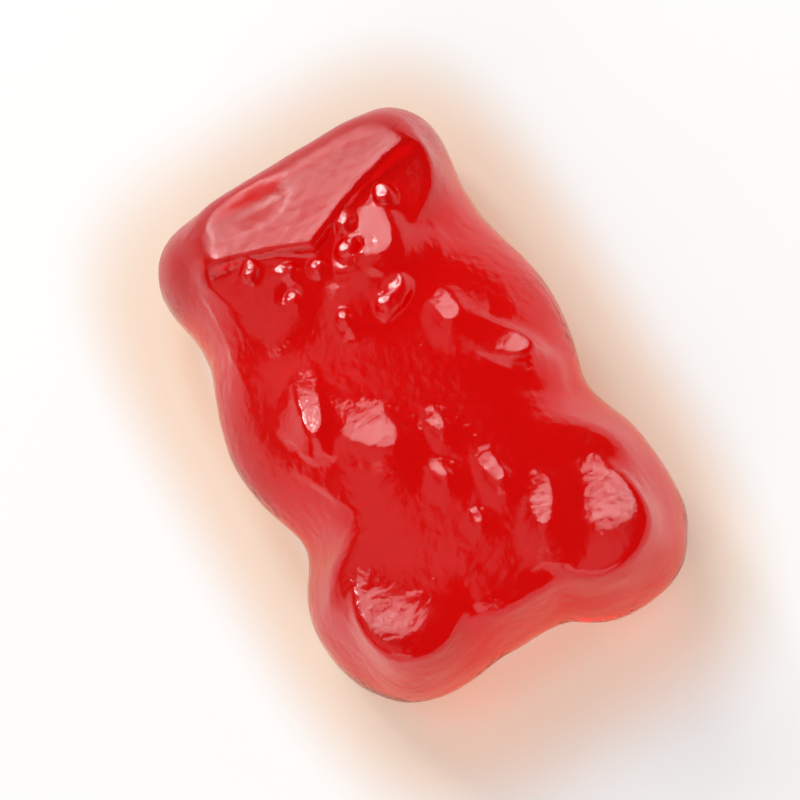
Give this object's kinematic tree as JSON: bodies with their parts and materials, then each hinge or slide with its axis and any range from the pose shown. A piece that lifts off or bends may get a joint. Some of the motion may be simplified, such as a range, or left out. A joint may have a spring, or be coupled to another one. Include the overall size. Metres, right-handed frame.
{
  "type": "gummy bear",
  "caption": "Small moulded fruit jelly bear lying on its flat back: ear corners, V brow, muzzle, paws on the belly, blunt feet.",
  "frame": {"origin": "middle of the bounding box at the flat back, which lies on the surface", "axes": "+Y from the feet to the head, +Z from the flat back to the face, +X to the bear's left hand"},
  "size_m": [0.0148, 0.0228, 0.0072],
  "materials": {
    "gummy": "translucent red fruit jelly with a thin oily gloss, deep red where thick and orange-red where thin"
  },
  "bodies": {
    "root": {"gummy_bear": "gummy"}
  },
  "joints": []
}
